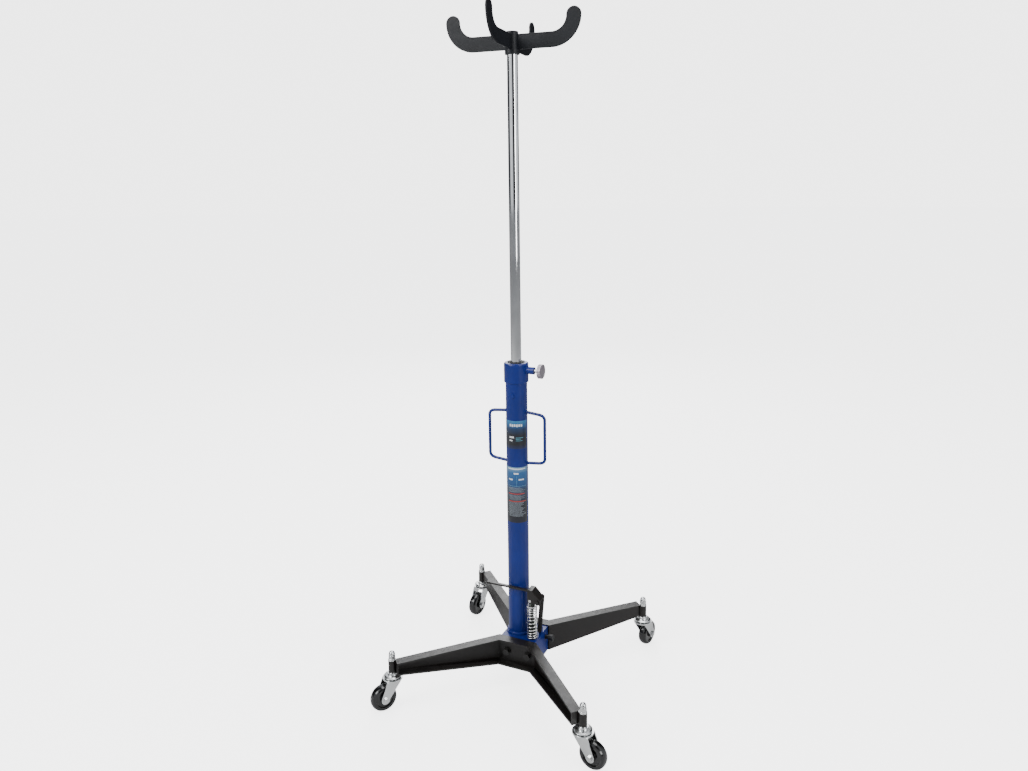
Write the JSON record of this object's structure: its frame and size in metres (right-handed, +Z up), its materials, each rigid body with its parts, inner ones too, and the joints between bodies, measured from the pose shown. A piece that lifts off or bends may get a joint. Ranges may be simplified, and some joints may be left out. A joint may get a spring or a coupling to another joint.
{
  "type": "telescopic transmission jack",
  "caption": "Tall hydraulic jack: curved cradle arms on a chrome ram over a slim column, foot pump and a splayed leg base on swivel casters.",
  "frame": {"origin": "on the floor under the centre of the base, midway between the four caster stems", "axes": "+Z up along the column, +X towards the foot pump's side, -Y towards the front bracket"},
  "size_m": [0.6811, 0.6875, 1.909],
  "materials": {
    "blue_paint": "gloss enamel",
    "black_paint": "satin powder coat",
    "saddle_paint": "satin powder coat",
    "chrome_rod": "polished",
    "zinc_plate": "bright zinc plate",
    "machined_steel": "turned",
    "black_wheel": "gloss",
    "rating_sticker": "satin film",
    "instruction_sticker": "satin film",
    "seal_rubber": "matt",
    "bolt_black": "black oxide",
    "knob_metal": "knurled",
    "valve_black": "black oxide",
    "bright_steel": "zinc plated"
  },
  "bodies": {
    "base": {"base_block": "blue_paint", "outer_tube": "blue_paint", "inner_cylinder": "machined_steel", "head_collar": "blue_paint", "gland_bush": "machined_steel", "wiper_seal": "seal_rubber", "handle_left": "blue_paint", "handle_right": "blue_paint", "filler_plug": "blue_paint", "rating_label": "rating_sticker", "instruction_label": "instruction_sticker", "bracket_front": "black_paint", "bracket_rear": "black_paint", "bracket_bolts": "bolt_black", "caster_sockets": "black_paint", "caster_stems": "zinc_plate", "caster_races": "zinc_plate", "bearing_balls": "bright_steel", "acorn_nuts": "zinc_plate", "spring_washers": "zinc_plate", "pump_barrel": "machined_steel", "pump_spring": "bright_steel", "fulcrum_link": "black_paint", "fulcrum_pin": "bright_steel"},
    "release_valve": {"release_valve": "valve_black"},
    "ram": {"ram_rod": "chrome_rod", "piston": "machined_steel", "piston_seal": "seal_rubber"},
    "saddle": {"saddle_hub": "saddle_paint", "saddle_arm_right": "saddle_paint", "saddle_arm_rear": "saddle_paint", "saddle_arm_left": "saddle_paint", "saddle_arm_front": "saddle_paint"},
    "lock": {"lock_screw": "bright_steel", "lock_knob": "knob_metal"},
    "plunger": {"pump_plunger": "chrome_rod", "spring_cap": "bright_steel"},
    "pedal": {"foot_pedal": "black_paint", "plunger_pin": "bright_steel"},
    "swivel_fl": {"fork_fl": "zinc_plate", "axle_fl": "bright_steel"},
    "roller_fl": {"wheel_fl": "black_wheel", "wheel_bush_fl": "machined_steel"},
    "swivel_fr": {"fork_fr": "zinc_plate", "axle_fr": "bright_steel"},
    "roller_fr": {"wheel_fr": "black_wheel", "wheel_bush_fr": "machined_steel"},
    "swivel_rr": {"fork_rr": "zinc_plate", "axle_rr": "bright_steel"},
    "roller_rr": {"wheel_rr": "black_wheel", "wheel_bush_rr": "machined_steel"},
    "swivel_rl": {"fork_rl": "zinc_plate", "axle_rl": "bright_steel"},
    "roller_rl": {"wheel_rl": "black_wheel", "wheel_bush_rl": "machined_steel"}
  },
  "joints": [
    {"name": "ram_slide", "type": "slide", "parent": "base", "child": "ram", "axis": [0, 0, 1], "range_m": [-0.8, 0]},
    {"name": "saddle_swivel", "type": "hinge", "parent": "ram", "child": "saddle", "pos_m": [-0.017, 0, 1.818], "axis": [0, 0, 1], "continuous": true},
    {"name": "lock_knob_turn", "type": "hinge", "parent": "base", "child": "lock", "pos_m": [0.033, 0, 0.941], "axis": [1, 0, 0], "continuous": true},
    {"name": "release_valve_turn", "type": "hinge", "parent": "base", "child": "release_valve", "pos_m": [0.06, 0.03, 0.12], "axis": [1, 0, 0], "range_deg": [-90, 90]},
    {"name": "pedal_hinge", "type": "hinge", "parent": "base", "child": "pedal", "pos_m": [0.058, -0.02, 0.266], "axis": [0, -1, 0], "range_deg": [0, 30], "stiffness_Nm_per_rad": 2, "springref_deg": -20.05},
    {"name": "plunger_slide", "type": "slide", "parent": "base", "child": "plunger", "axis": [0, 0, 1], "range_m": [-0.012, 0], "deforming": ["pump_spring"]},
    {"name": "caster_swivel_fl", "type": "hinge", "parent": "base", "child": "swivel_fl", "pos_m": [-0.284, -0.281, 0.09], "axis": [0, 0, 1], "continuous": true},
    {"name": "wheel_spin_fl", "type": "hinge", "parent": "swivel_fl", "child": "roller_fl", "pos_m": [-0.30121, -0.30557, 0.0375], "axis": [0.8192, -0.5736, 0], "continuous": true},
    {"name": "caster_swivel_fr", "type": "hinge", "parent": "base", "child": "swivel_fr", "pos_m": [0.284, -0.281, 0.09], "axis": [0, 0, 1], "continuous": true},
    {"name": "wheel_spin_fr", "type": "hinge", "parent": "swivel_fr", "child": "roller_fr", "pos_m": [0.31354, -0.28621, 0.0375], "axis": [0.1736, 0.9848, 0], "continuous": true},
    {"name": "caster_swivel_rr", "type": "hinge", "parent": "base", "child": "swivel_rr", "pos_m": [0.284, 0.281, 0.09], "axis": [0, 0, 1], "continuous": true},
    {"name": "wheel_spin_rr", "type": "hinge", "parent": "swivel_rr", "child": "roller_rr", "pos_m": [0.29075, 0.31023, 0.0375], "axis": [-0.9744, 0.225, 0], "continuous": true},
    {"name": "caster_swivel_rl", "type": "hinge", "parent": "base", "child": "swivel_rl", "pos_m": [-0.284, 0.281, 0.09], "axis": [0, 0, 1], "continuous": true},
    {"name": "wheel_spin_rl", "type": "hinge", "parent": "swivel_rl", "child": "roller_rl", "pos_m": [-0.28818, 0.25129, 0.0375], "axis": [0.9903, -0.1392, 0], "continuous": true}
  ],
  "couplings": [
    {"joint": "plunger_slide", "follows": "pedal_hinge", "m_per_rad": -0.022}
  ]
}
